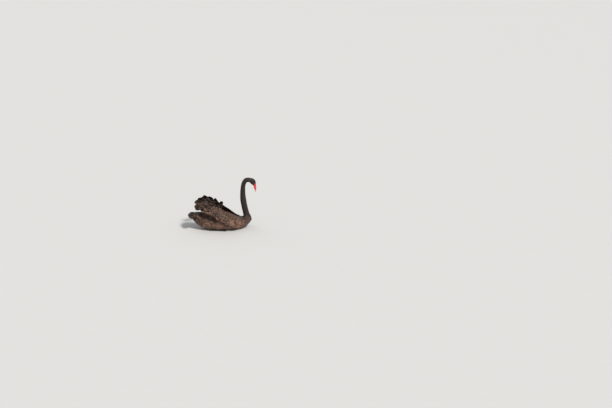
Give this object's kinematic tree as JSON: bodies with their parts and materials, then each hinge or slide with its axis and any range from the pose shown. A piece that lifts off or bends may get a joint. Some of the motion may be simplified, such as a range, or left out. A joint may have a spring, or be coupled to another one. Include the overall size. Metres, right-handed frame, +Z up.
{
  "type": "black swan model",
  "caption": "Life-size still model of a black swan at rest on its belly, with an arched neck, a bill held down and half-raised wings with curled plumes.",
  "frame": {"origin": "on the floor, under the middle of the model's bounding box", "axes": "+Z up; the bird faces -Y and its left side is +X"},
  "size_m": [0.3222, 0.7115, 0.5308],
  "materials": {
    "body_plumage": "sooty brown-black feathers with paler brown edges and a soft silky sheen",
    "neck_plumage": "short dense sooty feathers, velvety",
    "bill_horn": "waxy coral-red horn with a pale band near the tip",
    "eye": "wet, dark red iris round a black pupil",
    "white_flight_feathers": "smooth white vanes with a pale shaft",
    "leg_scales": "dark grey scaled skin and web, dull satin"
  },
  "bodies": {
    "root": {"trunk": "body_plumage", "neck_lower": "neck_plumage", "neck_middle": "neck_plumage", "neck_upper": "neck_plumage", "head": "neck_plumage", "bill_upper": "bill_horn", "bill_lower": "bill_horn", "tail": "body_plumage", "eye_left": "eye", "eye_right": "eye", "wing_left": "body_plumage", "wing_right": "body_plumage", "plumes_left": "body_plumage", "plumes_right": "body_plumage", "primaries_left": "white_flight_feathers", "primaries_right": "white_flight_feathers", "leg_left": "leg_scales", "leg_right": "leg_scales", "foot_left": "leg_scales", "foot_right": "leg_scales"}
  },
  "joints": []
}
